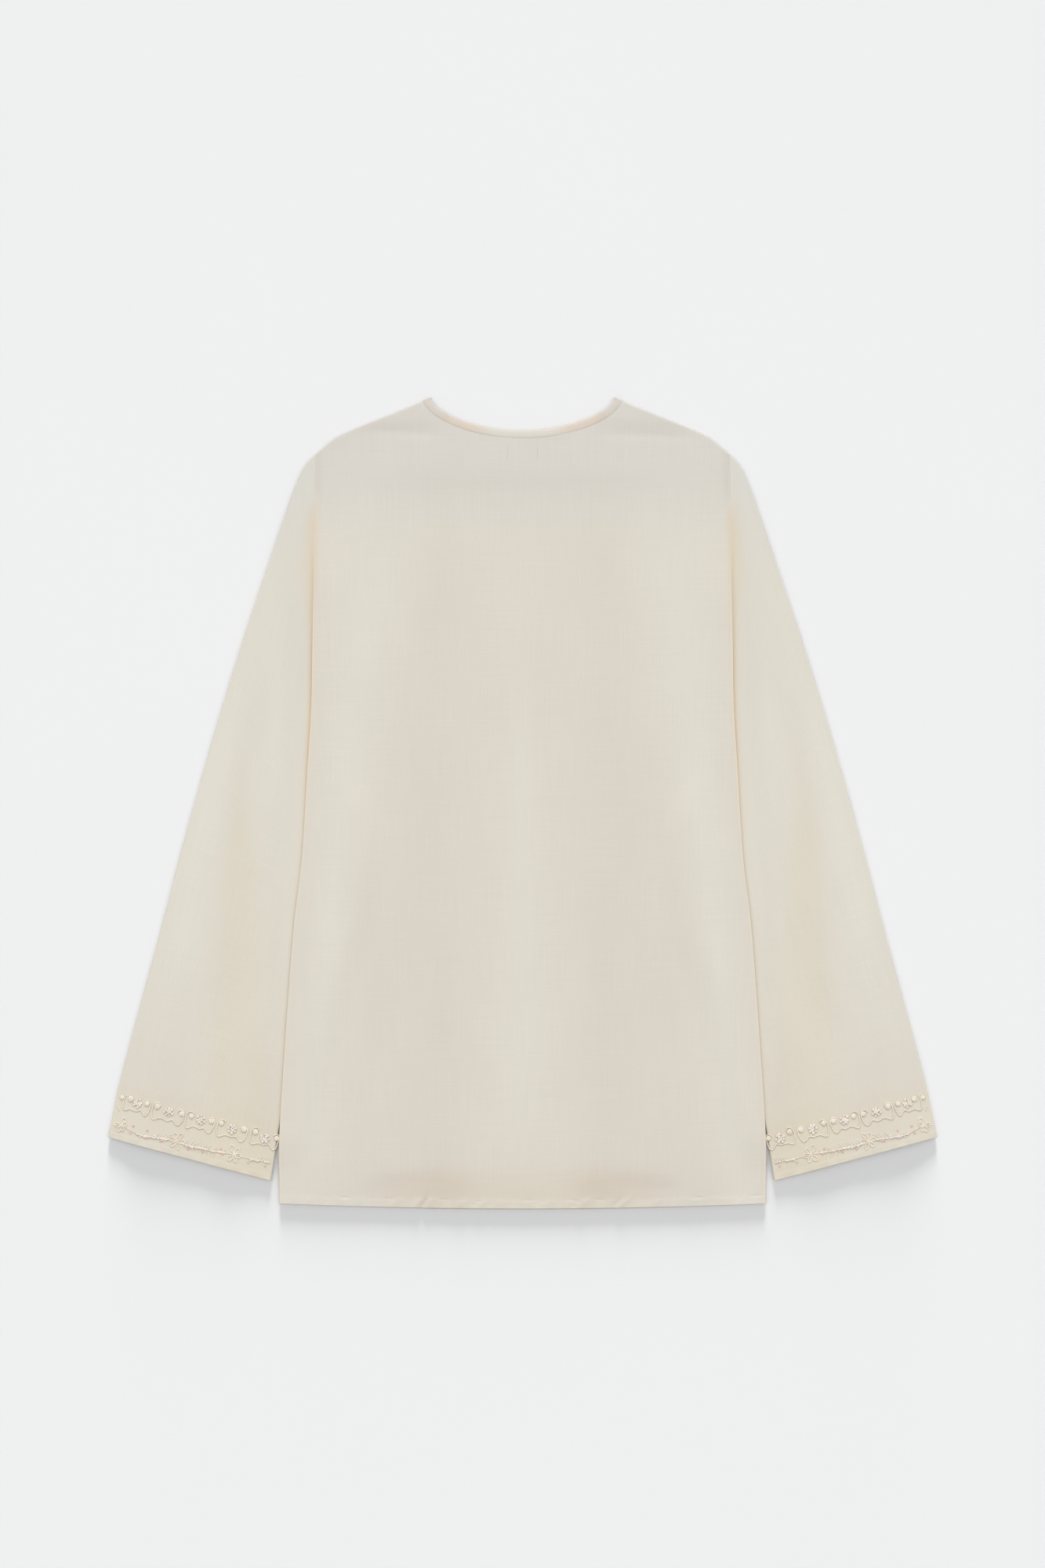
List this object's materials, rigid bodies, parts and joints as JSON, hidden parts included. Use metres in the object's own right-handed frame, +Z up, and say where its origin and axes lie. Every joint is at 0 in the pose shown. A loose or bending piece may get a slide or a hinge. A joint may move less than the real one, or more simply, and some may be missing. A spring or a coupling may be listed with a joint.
{
  "type": "embroidered top laid flat",
  "caption": "Collarless long-sleeved cotton blouse laid flat, back side up, with a narrow bound neck, wide sleeves and embroidered cuffs.",
  "frame": {"origin": "on the table, at the middle of the garment's outline", "axes": "+X to the wearer's right, which is the right of the picture; +Y up to the neck; +Z up from the table, out of the garment's back"},
  "size_m": [0.761, 0.7458, 0.0069],
  "materials": {
    "ivory_cotton": "thin slubby plain weave, matt",
    "neck_binding_cotton": "the same cotton cut on the bias, matt",
    "cream_thread": "embroidery thread with a soft sheen",
    "knot_thread": "white and cream satin thread",
    "coral_thread": "coral pink stranded thread"
  },
  "bodies": {
    "root": {"back": "ivory_cotton", "front": "ivory_cotton", "sleeve_left": "ivory_cotton", "sleeve_right": "ivory_cotton", "neck_binding_back": "neck_binding_cotton", "neck_binding_front": "neck_binding_cotton", "scroll_row_left": "cream_thread", "sprig_row_left": "cream_thread", "flower_cluster_left_1": "knot_thread", "flower_cluster_left_2": "knot_thread", "flower_cluster_left_3": "knot_thread", "flower_cluster_left_4": "knot_thread", "flower_cluster_left_5": "knot_thread", "scroll_row_right": "cream_thread", "sprig_row_right": "cream_thread", "flower_cluster_right_1": "knot_thread", "flower_cluster_right_2": "knot_thread", "flower_cluster_right_3": "knot_thread", "flower_cluster_right_4": "knot_thread", "flower_cluster_right_5": "knot_thread"}
  },
  "joints": []
}
